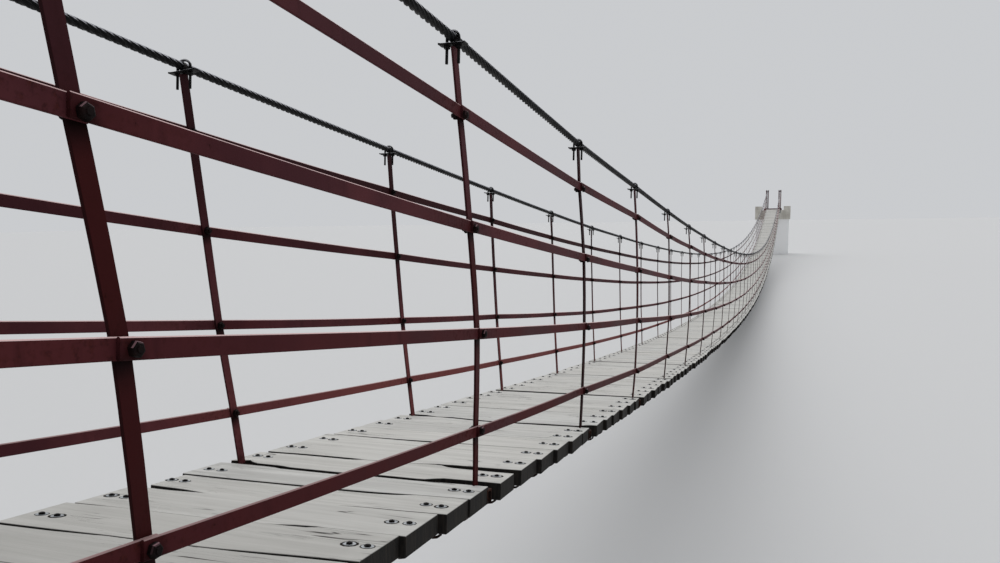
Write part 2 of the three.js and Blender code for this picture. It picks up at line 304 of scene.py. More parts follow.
patterns = {  # how fine, how detailed and how rough each noise is, and its scale along x, y and z if uneven
    "paintCloud": (7, 5, 0.55), "paintStreak": (55, 4, 0.55, (1, 1, 0.15)),
    "paintSpeck": (170, 4, 0.55), "rustGrain": (420, 2, 0.55),
    "woodGrain": (430, 4, 0.6, (1, 0.03, 1)), "woodStreak": (75, 4, 0.6, (1, 0.045, 1)),
    "woodCloud": (9, 4, 0.55, (1, 0.4, 1)), "woodKnot": (40, 2, 0.4, (1, 0.6, 1)),
    "crackLine": (27, 3, 0.45, (1, 0.075, 1)), "crackPlace": (11, 2, 0.55, (1, 0.5, 1)),
    "splitLine": (85, 2, 0.5, (1, 0.05, 1)), "sawMark": (260, 4, 0.55, (1, 1, 0.1)),
    "ropeDirt": (26, 5, 0.55), "ropeWire": (900, 2, 0.55, (0.12, 1, 1)),
    "ironCloud": (120, 4, 0.55), "ironGrain": (500, 3, 0.55), "zincCloud": (40, 4, 0.55),
    "concreteCloud": (5, 6, 0.55), "concreteRun": (22, 4, 0.55, (1, 1, 0.08)),
    "concreteGrain": (160, 5, 0.55),
}


def screenTone(colour):
    # screen colour out of 255 to the linear colour that the shader takes
    return (*(((c / 255 + 0.055) / 1.055) ** 2.4 if c > 10 else c / 255 / 12.92 for c in colour), 1.0)


class Nodes:
    # short ways to add nodes to one material
    def __init__(self, name, roughness, metallic, specular):
        self.material = bpy.data.materials.new(name)
        self.material.use_nodes = True
        self.tree = self.material.node_tree
        self.shader = self.tree.nodes["Principled BSDF"]
        self.fill(self.shader, {"Roughness": roughness, "Metallic": metallic, "Specular IOR Level": specular})
        self.place = self.add("TexCoord").outputs["Object"]

    def fill(self, node, inputs):
        # each input gets a link, or a number, vector or colour of its own
        for key, value in inputs.items():
            if isinstance(value, bpy.types.NodeSocket):
                self.tree.links.new(value, node.inputs[key])
            else:
                node.inputs[key].default_value = value
        return node

    def add(self, kind, inputs=None, **settings):
        node = self.tree.nodes.new(f"ShaderNode{kind}")
        for label, value in settings.items():
            setattr(node, label, value)
        return self.fill(node, inputs or {})

    def noise(self, pattern):
        scale, detail, rough, *uneven = patterns[pattern]
        place = self.place
        if uneven:
            place = self.add("Mapping", {"Vector": place, "Scale": uneven[0]}).outputs[0]
        inputs = {"Vector": place, "Scale": scale, "Detail": detail, "Roughness": rough}
        return self.add("TexNoise", inputs).outputs["Fac"]

    def cells(self, scale):
        return self.add("TexVoronoi", {"Vector": self.place, "Scale": scale}).outputs["Distance"]

    def ramp(self, source, low, high, toLow=0.0, toHigh=1.0):
        inputs = {"Value": source, "From Min": low, "From Max": high, "To Min": toLow, "To Max": toHigh}
        return self.add("MapRange", inputs, interpolation_type="SMOOTHSTEP").outputs["Result"]

    def maths(self, operation, first, second=0.0):
        return self.add("Math", {0: first, 1: second}, operation=operation).outputs[0]

    def times(self, first, second):
        return self.maths("MULTIPLY", first, second)

    def mix(self, share, first, second):
        # a colour is a name in finish, a tone or a link
        node = self.add("Mix", {0: share}, data_type="RGBA")
        sockets = [i for i, socket in enumerate(node.inputs) if socket.type == "RGBA"]
        for socket, colour in zip(sockets, (first, second)):
            self.fill(node, {socket: screenTone(finish[colour]) if isinstance(colour, str) else colour})
        return next(socket for socket in node.outputs if socket.type == "RGBA")

    def attribute(self, name):
        return self.add("Attribute", attribute_name=name).outputs["Fac"]

    def upward(self):
        # how far the face looks up: the z of its normal
        return self.add("SeparateXYZ", {0: self.add("NewGeometry").outputs["Normal"]}).outputs["Z"]

    def shift(self, amount):
        # moves the patterns by an amount that differs from copy to copy
        both = self.add("CombineXYZ", {"X": amount, "Y": amount}).outputs[0]
        self.place = self.add("VectorMath", {0: self.place, 1: both}, operation="ADD").outputs[0]

    def bump(self, height, strength, distance):
        node = self.add("Bump", {"Height": height, "Strength": strength, "Distance": distance})
        self.fill(self.shader, {"Normal": node.outputs["Normal"]})

    def done(self, colour, rough=None):
        self.fill(self.shader, {"Base Color": colour})
        if rough:
            self.fill(self.shader, {"Roughness": rough})
        return self.material


def oxidePaint():
    # dull maroon paint: faded in clouds, darker and redder where the red attribute says, rusty at the laps
    # and in specks, painted lighter where lit and darker where in shade, with a near-black painted shadow
    # (and some grime) under the rails, and a painted highlight of paler paint on faces that look up
    n = Nodes("oxidePaint", 0.5, 0.0, 0.02)
    fade, streak, speck = n.noise("paintCloud"), n.noise("paintStreak"), n.noise("paintSpeck")
    body = n.mix(n.ramp(fade, 0.35, 0.68), "paintDark", "paintLight")
    body = n.mix(n.times(n.attribute("red"), n.ramp(fade, 0.2, 0.6, 0.5, 1.0)), body, "paintRed")
    # painted light: lighter, pinker paint low on the left parapet, from about frame 4 on
    body = n.mix(n.attribute("fresh"), body, "paintLit")
    # painted shade: the upper parapet, a band under each rail (with some grime) and the posts' near edges
    body = n.mix(n.attribute("dull"), body, "paintShaded")
    body = n.mix(n.ramp(streak, 0.55, 0.8, 0.0, 0.4), body, "paintShade")
    rusty = n.maths("ADD", n.ramp(speck, 0.68, 0.76), n.times(n.attribute("wear"), n.ramp(speck, 0.46, 0.66)))
    rusty = n.maths("MINIMUM", rusty, 1.0)
    rust = n.mix(n.ramp(n.noise("rustGrain"), 0.4, 0.6), "rustDark", "rustLight")
    body = n.mix(n.times(rusty, 0.6), body, rust)
    # near-black painted shadow, with some grime: under the rails, at the laps, and on whole posts in shade
    body = n.mix(n.attribute("soot"), body, "paintShadow")
    # painted highlight: the bars' faces that look up are painted paler, where the bar attribute allows
    upHighlight = n.times(n.ramp(n.upward(), 0.4, 0.68, 0.0, 0.9), n.attribute("bar"))
    upHighlight = n.times(upHighlight, n.ramp(fade, 0.25, 0.6, 0.7, 1.0))
    n.bump(n.maths("ADD", n.times(speck, 0.5), n.times(rusty, 0.5)), 0.2, 0.0004)
    rough = n.maths("ADD", n.times(rusty, 0.3), n.ramp(fade, 0.3, 0.7, 0.42, 0.55))
    return n.done(n.mix(upHighlight, body, "paintHighlight"), rough)


def weatheredTimber():
    # silver-grey boards: fine grain and pale streaks along the board, long dark cracks and small knots; the
    # sawn sides and ends, and the undersides a little less, are painted almost black as shade, with faint saw
    # marks
    n = Nodes("weatheredTimber", 0.85, 0.0, 0.25)
    board = n.attribute("board")
    n.shift(n.times(board, 37.0))
    fine, cloud = n.noise("woodGrain"), n.noise("woodCloud")
    tone = n.mix(n.ramp(n.noise("woodStreak"), 0.3, 0.7), "woodGrey", "woodPale")
    tone = n.mix(n.ramp(board, 0.0, 1.0, 0.0, 0.3), tone, "woodWarm")
    tone = n.mix(n.ramp(cloud, 0.52, 0.75, 0.0, 0.22), tone, "woodShade")
    tone = n.mix(n.ramp(fine, 0.55, 0.75, 0.0, 0.35), tone, "woodShade")
    # painted shade round one bay, and a little random dirt on each board
    tone = n.mix(n.attribute("dirt"), tone, "woodShade")
    # a crack or split runs where its noise passes through a middle value
    crack = n.maths("ABSOLUTE", n.maths("SUBTRACT", n.noise("crackLine"), 0.5))
    crack = n.times(n.ramp(crack, 0.001, 0.006, 1.0, 0.0), n.ramp(n.noise("crackPlace"), 0.54, 0.62))
    split = n.maths("ABSOLUTE", n.maths("SUBTRACT", n.noise("splitLine"), 0.52))
    split = n.times(n.ramp(split, 0.001, 0.008, 1.0, 0.0), n.ramp(cloud, 0.5, 0.6, 0.0, 0.5))
    knot = n.ramp(n.noise("woodKnot"), 0.75, 0.79, 0.0, 0.55)
    cut = n.maths("MAXIMUM", n.maths("MAXIMUM", crack, split), knot)
    top = n.mix(n.times(cut, 0.92), tone, "woodCrack")
    # painted shade: near-black sides, ends and undersides with faint saw marks
    side = n.mix(n.ramp(n.noise("sawMark"), 0.35, 0.7), "woodSideShade", "woodSideShadeLight")
    n.bump(n.maths("SUBTRACT", n.times(fine, 0.3), cut), 0.7, 0.0012)
    return n.done(n.mix(n.attribute("edge"), top, side))


def strandedSteel():
    # dark greased rope: dull in the valleys between the strands, worn brighter on their crowns, and with a
    # painted highlight where it looks up
    n = Nodes("strandedSteel", 0.45, 0.4, 0.2)
    dirt, wires = n.noise("ropeDirt"), n.noise("ropeWire")
    body = n.mix(n.ramp(dirt, 0.35, 0.7), "ropeDark", "ropeLight")
    body = n.mix(n.ramp(wires, 0.45, 0.7, 0.0, 0.6), body, "ropeValley")
    # painted highlight along the upper side
    body = n.mix(n.ramp(n.upward(), 0.3, 0.55, 0.0, 0.9), body, "ropeHighlight")
    n.bump(wires, 0.4, 0.0004)
    body = n.mix(n.ramp(n.attribute("crown"), 0.1, 0.9), "ropeValley", body)
    return n.done(body, n.ramp(dirt, 0.3, 0.7, 0.4, 0.6))


def rustyIron(name, dark, light, rough, highlightShare=0.0, highlightTone="ironHighlight", where=None):
    # bolts, plates and nuts: dark iron with lighter rust, and a painted highlight of pale metal on tops that
    # look up, and if an attribute is given, only where it says
    n = Nodes(name, rough, 0.2, 0.1)
    body = n.mix(n.ramp(n.noise("ironCloud"), 0.35, 0.7), screenTone(dark), screenTone(light))
    # painted highlight on faces that look up
    bright = n.ramp(n.upward(), 0.35, 0.65, 0.0, highlightShare)
    if where:
        bright = n.times(bright, n.attribute(where))
    n.bump(n.noise("ironGrain"), 0.4, 0.0004)
    return n.done(n.mix(bright, body, highlightTone))


def zincSteel():
    # dull zinc with broad crystals
    n = Nodes("zincSteel", 0.45, 0.85, 0.5)
    tone = n.mix(n.ramp(n.cells(90.0), 0.0, 0.8), "zincDark", "zincLight")
    return n.done(tone, n.ramp(n.noise("zincCloud"), 0.3, 0.7, 0.38, 0.6))


def castConcrete():
    # pale concrete: cloudy, with pin holes and faint darker runs
    n = Nodes("castConcrete", 0.92, 0.0, 0.2)
    hole = n.ramp(n.cells(130.0), 0.06, 0.16, 1.0, 0.0)
    body = n.mix(n.ramp(n.noise("concreteCloud"), 0.3, 0.7), "concreteDark", "concreteLight")
    body = n.mix(n.ramp(n.noise("concreteRun"), 0.5, 0.75, 0.0, 0.45), body, "concreteRun")
    n.bump(n.maths("SUBTRACT", n.noise("concreteGrain"), hole), 0.5, 0.0015)
    return n.done(n.mix(n.times(hole, 0.7), body, "concreteHole"))


paint = oxidePaint()
timber = weatheredTimber()
ropeSteel = strandedSteel()
iron = {name: rustyIron(name, *look) for name, look in irons.items()}
zinc = zincSteel()
concrete = castConcrete()
print("materials made")

# camera and light, in the model's metres
camera = {
    "place": (2.43246, -0.61126, 0.28597),
    "right": (0.33208385, -0.94310319, -0.01663409),
    "up": (0.13997215, 0.0318318, 0.98964364),
    "forward": (0.93280658, 0.33097298, -0.14257901),
    "film": 36,
    "lens": 29.548,
    "shiftY": 0.052,
    "clip": (0.01, 500),
}
cameraData = bpy.data.cameras.new("photoCamera")
cameraData.sensor_width = camera["film"]
cameraData.lens = camera["lens"]
cameraData.shift_y = camera["shiftY"]
cameraData.clip_start, cameraData.clip_end = camera["clip"]
cameraObject = addObject("photoCamera", cameraData)
back = tuple(-v for v in camera["forward"])
cameraAxes = Matrix((camera["right"], camera["up"], back)).transposed().to_4x4()
cameraObject.matrix_world = Matrix.Translation(camera["place"]) @ cameraAxes
bpy.context.scene.camera = cameraObject
bpy.context.scene.view_settings.view_transform = "Standard"

studio = {
    "floorZ": -1.15, "floorMiddle": 16, "floorHalf": 120, "floorThick": 0.1,
    "tones": {"floor": 0.6, "plinth": 0.95},
    "worldStrength": 0.62, "worldTone": (0.95, 0.97, 1),
    "sunStrength": 1.6, "sunSpread": 70, "sunFrom": (0.66, 0.14, 0.74),
    "plinths": {"xNear": (-0.33, 0.33), "xFar": (31.57, 32.23)},
    "plinthHalfWidth": 0.52, "plinthTop": -0.0005,
}
world = bpy.data.worlds.new("studio")
bpy.context.scene.world = world
world.use_nodes = True
world.node_tree.nodes["Background"].inputs["Color"].default_value = (*studio["worldTone"], 1.0)
world.node_tree.nodes["Background"].inputs["Strength"].default_value = studio["worldStrength"]
sunData = bpy.data.lights.new("softSun", "SUN")
sunData.energy = studio["sunStrength"]
sunData.angle = math.radians(studio["sunSpread"])
addObject("softSun", sunData).rotation_euler = Vector(studio["sunFrom"]).to_track_quat("Z", "Y").to_euler()
stageMaterials = {name: Nodes(f"{name}Stage", 0.9, 0, 0.1).done((tone, tone, tone, 1))
                  for name, tone in studio["tones"].items()}


def makeStage(name, material, xRange, halfWidth, zRange):
    # plain box between its limits
    corners = [(x, y, z) for z in zRange for y in (-halfWidth, halfWidth) for x in xRange]
    faces = [(0, 2, 3, 1), (4, 5, 7, 6), (0, 1, 5, 4), (1, 3, 7, 5), (3, 2, 6, 7), (2, 0, 4, 6)]
    mesh = bpy.data.meshes.new(name)
    mesh.from_pydata(corners, [], faces)
    mesh.materials.append(stageMaterials[material])
    addObject(name, mesh)


floorTop, middle, half = studio["floorZ"], studio["floorMiddle"], studio["floorHalf"]
makeStage("floor", "floor", (middle - half, middle + half), half, (floorTop - studio["floorThick"], floorTop))
for name, xRange in studio["plinths"].items():  # for the abutments, as the deck sags below their feet
    makeStage(f"{name}Plinth", "plinth", xRange, studio["plinthHalfWidth"], (floorTop, studio["plinthTop"]))
print("camera, light and floor set")

# parapets
posts = {
    "width": 30, "thick": 6, "chamfer": 0.6, "foot": -9.4, "head": 1175, "twist": 2, "seed": 5,
    "stations": 13, "railStations": [-62, -42, -16, 16],  # the latter beside each rail, for its marks
    "footWear": (0.7, 160), "wearSpread": 0.12,  # how much, and how far up
    # round a place beside each rail: how much, how far below the rail it is, and how far it reaches; the
    # first is rust, the second painted shade with some grime, the third a near-black painted shadow with some
    # grime
    "railWear": (0.5, 0, 45), "grimeAndShade": (0.85, 24, 20), "soot": (0.9, 12, 16),
    "redder": {"left": 0, "right": 0.95}, "redSpread": (0.7, 1),
    "redBelow": (800, 720),  # the lower part is darker and redder,
    "duller": {"left": 0.75, "right": 0.1}, "dullAbove": (500, 900),  # and the upper part has painted shade,
    "nearEdgeShade": 0.7,  # as has the edge towards the near end
    "shadedPosts": {"left": {}, "right": {4: (0.3,), 6: (0.6,)}},  # painted shade on whole posts, by frame
    # painted light low on the left posts: how much, below which heights, and from which frames
    "fresh": {"left": 0.55, "right": 0}, "freshBelow": (620, 300), "freshFrom": (4, 6.5),
}
rails = {
    "heights": [166, 450, 740, 1023], "width": 30, "thick": 6, "layerGap": 0.2, "seed": 15,
    "lap": 0.013, "stations": [0.03, 0.27, 0.5, 0.73],  # shares of a bay
    "chamfer": {"left": 2, "right": 1.6}, "sag": 2, "bend": 2.5,
    "soot": (0.6, 0.15),  # near-black painted shadow with some grime, on the edges and faces of the end that lies on top
    "lapWear": (0.9, 0.03), "wearSpread": 0.08, "lapRed": (0.5, 0.2),
    # the lowest rails get only part of the painted highlight on faces that look up
    "redder": 0.6, "redBelow": (600, 400), "dullAbove": (500, 1000), "lowHighlight": {"left": 0.5, "right": 0.4},
    # painted light low on the left rails: how much, below which heights, and from which frames
    "fresh": {"left": 0.7, "right": 0}, "freshBelow": (400, 170), "freshFrom": (4.5, 5.7),
}


def besideRails(h, amount, below, width):
    # the greatest of the bells round a place beside each rail
    return np.max([amount * hill(h - level + below, width) for level in rails["heights"]], 0)


def makePosts(side):
    # flat bar with its wide face along the bridge, carried up the leaning and bowed line of one parapet
    rng = sideRandom(side, posts["seed"])
    s = frames[:, None]
    beside = np.add.outer(rails["heights"], posts["railStations"]).ravel()
    usual = np.linspace(posts["foot"], posts["head"], posts["stations"])
    h = np.sort(np.concatenate([usual, beside]))[None, :]
    twist = np.radians(rng.uniform(-posts["twist"], posts["twist"], s.shape)) * np.ones_like(h)
    lean = layout["lean"]
    flat = vectors(math.cos(lean) * np.cos(twist), np.sin(twist), math.sin(lean) * np.cos(twist))
    face = vectors(-math.cos(lean) * np.sin(twist), np.cos(twist), -math.sin(lean) * np.sin(twist))
    bar = barRing(posts["width"], posts["thick"], posts["chamfer"])
    rings = carry(vectors(*parapetPoint(side, s, h)), flat, face, bar)
    amount, reach = posts["footWear"]
    wear = np.maximum(amount * hill(h, reach) + posts["wearSpread"] * rng.random(s.shape),
                      besideRails(h, *posts["railWear"]))
    red = rise(h, *posts["redBelow"]) * posts["redder"][side] * rng.uniform(*posts["redSpread"], s.shape)
    # painted shade on the upper part, and a band just under each rail, with some grime there
    dull = np.maximum(rise(h, *posts["dullAbove"]) * posts["duller"][side], besideRails(h, *posts["grimeAndShade"]))
    # painted light: lighter and pinker low down, growing from frame 4
    fresh = rise(h, *posts["freshBelow"]) * rise(s, *posts["freshFrom"]) * posts["fresh"][side]
    # near-black painted shadow: whole posts in shade, and right under each rail with some grime
    soot = np.maximum(perFrame(posts["shadedPosts"][side], (0,)), besideRails(h, *posts["soot"]))
    shape = rings.shape[:-1]
    dull = np.broadcast_to(dull[..., None], shape).copy()
    # painted shade on the post's edge towards the near end
    dull[..., [0, 7]] = np.maximum(dull[..., [0, 7]], posts["nearEdgeShade"])
    makePiece(f"{side}_posts", [rings], paint, parapetNodes(side), values={
        **spreadOver(shape, wear=wear, red=red, soot=soot, fresh=fresh), "dull": dull, "bar": np.ones(shape)})


def makeRails(side):
    # one bar a bay at each height: its near end lies over the end of the bar before it, its far end under the
    # next, so its layer = 1.5 at the near end and 0.5 at the far end; between posts it sags as a parabola
    rng = sideRandom(side, rails["seed"])
    lap = rails["lap"]
    t = np.array([-lap, lap, *rails["stations"], 1 - lap, 1 + lap])
    k, h = (grid.reshape(-1, 1) for grid in np.meshgrid(np.arange(bays), rails["heights"], indexing="ij"))
    s = k + t
    over = np.clip((1 - lap - t) / (1 - 2 * lap), 0, 1)
    layer = posts["thick"] / 2 + (rails["thick"] + rails["layerGap"]) * (0.5 + over) + rails["layerGap"]
    hump = 4 * np.clip(t, 0, 1) * (1 - np.clip(t, 0, 1))
    x, y, z = parapetPoint(side, s, h)
    z = z - hump * rng.uniform(0, rails["sag"], k.shape)
    y = y + sign[side] * layer + hump * rng.uniform(-rails["bend"], rails["bend"], k.shape)
    up = axesAt(slopeAt(s))[1]
    bar = barRing(rails["width"], rails["thick"], rails["chamfer"][side])
    rings = carry(vectors(x, y, z), up, yAxis, bar)
    fromLap = np.minimum(np.abs(t), np.abs(1 - t))
    amount, reach = rails["lapWear"]
    wear = amount * hill(fromLap, reach) + rails["wearSpread"] * rng.random(k.shape)
    amount, reach = rails["lapRed"]
    red = np.maximum(amount * hill(fromLap, reach) * rng.random(k.shape),
                     rails["redder"] * rise(h, *rails["redBelow"]) * posts["redder"][side])
    # painted shade on the upper rails
    dull = rise(h, *rails["dullAbove"]) * posts["duller"][side] + 0 * s
    # painted light: lighter and pinker low down, growing from frame 4.5
    fresh = rise(h, *rails["freshBelow"]) * rise(s, *rails["freshFrom"]) * rails["fresh"][side]
    # share of the painted highlight on faces that look up: less on the lowest rail
    upHighlight = np.where(h > rails["heights"][0], 1.0, rails["lowHighlight"][side]) + 0 * s
    shape = rings.shape[:-1]
    # near-black painted shadow with some grime at the lap, strongest on the lower edge
    soot = np.zeros(shape)
    edges, faces = rails["soot"]
    soot[:, :2] = faces
    soot[:, :2, [0, 1, 6, 7]] = edges
    makePiece(f"{side}_rails", [rings], paint, parapetNodes(side), values={
        **spreadOver(shape, wear=wear, red=red, dull=dull, fresh=fresh, bar=upHighlight), "soot": soot})


railBolts = {
    # section and profile of each solid, out from the rail or in from the post: (distance, size) pairs
    "head": (hexRing(20), [(0, 1), (5.51, 1), (6.27, 1), (8.55, 0.92), (9.5, 0.74)]),
    "tip": (roundRing(6, 6), [(8.55, 1), (11, 0.8)]),
    "nut": (hexRing(20), [(0, 1), (8, 1), (10, 0.85)]), "end": (roundRing(6, 6), [(9, 1), (15, 1)]),
    "drop": {"left": 1, "right": 4.5}, "dropSpread": 1.5, "seed": 25,
    "moved": {  # along and down, at the four rails of these frames
        ("right", 4): ((-1, 6, 1, 0), (-2, -2, 0, 0)), ("right", 5): ((0, 5, -5, -8), (-8, -2, 1, 4)),
        ("right", 6): ((0, 0, -7, -7), (0, 0, 4, 4)),
    },
}


def makeRailBolts(side):
    # at every crossing a hexagon head outside the rails, and a nut with the bolt's end inside the post
    rng = sideRandom(side, railBolts["seed"])
    s, h = (grid.ravel() for grid in np.meshgrid(frames, rails["heights"], indexing="ij"))
    x, y, z = parapetPoint(side, s, h)
    z = z - railBolts["drop"][side] + rng.uniform(-1, 1, s.shape) * railBolts["dropSpread"]
    for (where, number), (along, down) in railBolts["moved"].items():
        if where == side:
            x[s == number] += along
            z[s == number] -= down
    layers = np.where((s == 0) | (s == bays), 1, 2)
    outFace = posts["thick"] / 2 + rails["layerGap"] + layers * (rails["thick"] + rails["layerGap"])
    spin = rng.uniform(0, math.pi / 3, s.shape)
    across, outward = vectors(np.cos(spin), 0, np.sin(spin)), sign[side] * yAxis
    outer = vectors(x, y + sign[side] * outFace, z)
    inner = vectors(x, y - sign[side] * posts["thick"] / 2, z)
    parts = [turned(*railBolts[name], outer, outward, across) for name in ("head", "tip")]
    parts += [turned(*railBolts[name], inner, -outward, across) for name in ("nut", "end")]
    # where the painted highlight goes: the head's chamfer
    rimHighlight = [np.zeros(part.shape[:-1]) for part in parts]
    rimHighlight[0][:, 2:] = 1.0
    makePiece(f"{side}_rail_bolts", parts, iron["boltIron"],
              values={"rimHighlight": np.concatenate([part.ravel() for part in rimHighlight])})


for side in sides:
    makePosts(side)
    makeRails(side)
    makeRailBolts(side)
print("parapets made")

# hand ropes, with the clamps that hold them on each post
clamps = {
    "plateWide": 70, "plateLong": 26, "plateThick": 4.5, "plateChamfer": 0.8, "tilt": 4, "seed": 35,
    "plateStations": [-0.5, -0.4, 0, 0.4, 0.5], "curl": [1.5, 0.3, 0, 0.3, 1.5],
    "rod": 7.5, "legs": 31.5, "tail": 44, "below": 2.6, "above": 0.6, "nut": (hexRing(14), [(0, 1), (7, 1)]),
    "sleeve": (roundRing(12.3, 14), [(-8, 0.93), (-7, 1), (7, 1), (8, 0.93)]),
    # by frame: how much wider hoop and plate are, and how far inward they stand
    "single": {"left": {5: (1.36, 1.24, 5.5), 6: (1.12, 1.1, 0)}, "right": {}},
}
handRope = {"diameter": 24, "lay": 165, "ringsPerLay": 12, "perStrand": 3, "valley": 0.68, "crown": 0.97,
            "joints": [10, 20, 30, 40]}
portal = {"back": 240, "rollerRadius": 46, "clear": 1.2}
rollerBend = portal["rollerRadius"] + handRope["diameter"] / 2 + portal["clear"]
abutment = {"top": -50}
backAnchor = {"back": 1180, "rise": 150}


def hoopPath(bend, reach, centre, low, steps):
    # two straight legs joined by half an ellipse, as (across, up) pairs, and the unit step along it
    t = np.linspace(0, math.pi, steps)
    across = np.concatenate([[bend], bend * np.cos(t), [-bend]])
    up = np.concatenate([[low], centre + reach * np.sin(t), [low]])
    stepAcross, stepUp = np.gradient(across), np.gradient(up)
    stepAcross[[0, -1]] = 0.0
    length = np.hypot(stepAcross, stepUp)
    return across, up, stepAcross / length, stepUp / length


def hoops(base, normal, along, path, ring, wide=1.0):
    # round bar carried along the hoop's path in the plane across the bridge, stretched sideways by wide
    across, up, stepAcross, stepUp = path
    centres = base[:, None] + (across * wide)[..., None] * yAxis + up[:, None] * normal[:, None]
    outward = -stepUp[:, None] * yAxis + stepAcross[:, None] * normal[:, None]
    return carry(centres, along[:, None], outward, ring)


def makeClamps(side):
    # plate across the post's head and a U-bolt over the rope, with a nut under the plate on each leg
    tangent, normal = axesAt(slopeAt(frames))
    rope = vectors(*parapetPoint(side, frames, layout["ropeHeight"]))
    ropeRadius = handRope["diameter"] / 2
    plateTop = -ropeRadius - clamps["below"]
    plateLow = plateTop - clamps["plateThick"]
    lie = np.radians(sideRandom(side, clamps["seed"]).uniform(-1, 1, frames.shape) * clamps["tilt"])
    wider, plateWider, inward = perFrame(clamps["single"][side], (1, 1, 0)).T[..., None]
    place = rope - sign[side] * inward * yAxis
    v = np.array(clamps["plateStations"]) * clamps["plateWide"] * plateWider
    middle = (plateTop + plateLow) / 2 + np.array(clamps["curl"]) + v * np.tan(lie)[:, None]
    centres = place[:, None] + v[..., None] * yAxis + middle[..., None] * normal[:, None]
    plate = barRing(clamps["plateLong"], clamps["plateThick"], clamps["plateChamfer"])
    bend = clamps["legs"] / 2
    reach = ropeRadius + clamps["rod"] / 2 + clamps["above"]
    path = hoopPath(bend, reach, 0.0, plateLow - clamps["tail"], 11)
    groups = [carry(centres, tangent[:, None], normal[:, None], plate),
              hoops(place, normal, tangent, path, roundRing(clamps["rod"] / 2, 6), wider)]
    for hand in (-1, 1):
        seat = place + hand * bend * wider * yAxis + plateLow * normal
        groups.append(turned(*clamps["nut"], seat, -normal, tangent))
    # black sleeves round the rope under each hoop: painted shade for the inside of the hoop
    sleeves = turned(*clamps["sleeve"], rope, tangent, normal)
    makePiece(f"{side}_rope_shade_sleeves", [sleeves], iron["blackIron"])
    # the clamps' iron has a painted highlight on its tops that look up
    makePiece(f"{side}_rope_clamps", groups, iron["clampIron"])


def ropeBend(end, y):
    # the hand rope beyond the last frame: straight on along the slope, round the roller as an arc of the
    # radius R, R sin t towards the deck and R cos t above its hub, and straight to the anchor
    last = 0 if end == "near" else bays
    x0, z0 = arcPoint(last, layout["ropeHeight"])
    a = slopeAt(last)
    climb = abs(float(a))
    x = endX(end, portal["back"])
    centreZ = float(z0 + (x - x0) * math.tan(a)) - rollerBend / math.cos(climb)
    run = backAnchor["back"] - portal["back"]
    footZ = abutment["top"] + backAnchor["rise"]
    fall = math.asin(rollerBend / math.hypot(run, footZ - centreZ)) - math.atan2(footZ - centreZ, run)
    t = np.linspace(climb, -fall, 15)
    x, z = endX(end, portal["back"] - rollerBend * np.sin(t)), centreZ + rollerBend * np.cos(t)
    return vectors(np.append(x, endX(end, backAnchor["back"])), y, np.append(z, footZ))


def evenSteps(path, jointX, step):
    # cuts the path at the joints' x, and each length into even steps of about the given size
    gap = np.linalg.norm(np.diff(path, axis=0), axis=1)
    along = np.concatenate([[0], np.cumsum(gap)])
    stops = np.interp(jointX, path[:, 0], along)
    for start, stop in zip(stops[:-1], stops[1:]):
        where = np.linspace(start, stop, int(round((stop - start) / step)) + 1)
        yield where, np.stack([np.interp(where, along, path[:, i]) for i in range(3)], -1)


def makeStrandedRope(name, path, height, rope):
    # six strands laid round each other: r = R * crown on the strands and R * valley between them, the ring
    # turning by 360 degrees in each lay length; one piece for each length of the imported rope, whose joints
    # lie at frames, at the height of the rope
    j = np.arange(6 * rope["perStrand"])
    onStrand = j % rope["perStrand"] != 0
    reach = np.where(onStrand, rope["crown"], rope["valley"]) * rope["diameter"] / 2
    jointX = [path[0, 0], *arcPoint(np.array(rope["joints"]), height)[0], path[-1, 0]]
    for i, (where, centre) in enumerate(evenSteps(path, jointX, rope["lay"] / rope["ringsPerLay"])):
        direction = np.gradient(centre, axis=0)
        direction /= np.linalg.norm(direction, axis=1)[:, None]
        angle = 2 * math.pi * (j[None, :] / len(j) + where[:, None] / rope["lay"])
        ring = np.stack([reach * np.cos(angle), reach * np.sin(angle)], -1)
        rings = carry(centre, yAxis, np.cross(direction, yAxis), ring)[None]
        crown = np.broadcast_to(onStrand.astype(float), rings.shape[:-1])
        makePiece(f"{name}_{i + 1}_strands", [rings], ropeSteel, [f"{name}_{i + 1}"],
                  smooth=True, values={"crown": crown})


for side in sides:
    makeClamps(side)
    rope = vectors(*parapetPoint(side, halfBays, layout["ropeHeight"]))
    near, far = (ropeBend(end, handLine[side]) for end in ends)
    path = np.concatenate([near[::-1], rope, far])
    makeStrandedRope(f"{side}_hand_rope", path, layout["ropeHeight"], handRope)
print("hand ropes and clamps made")

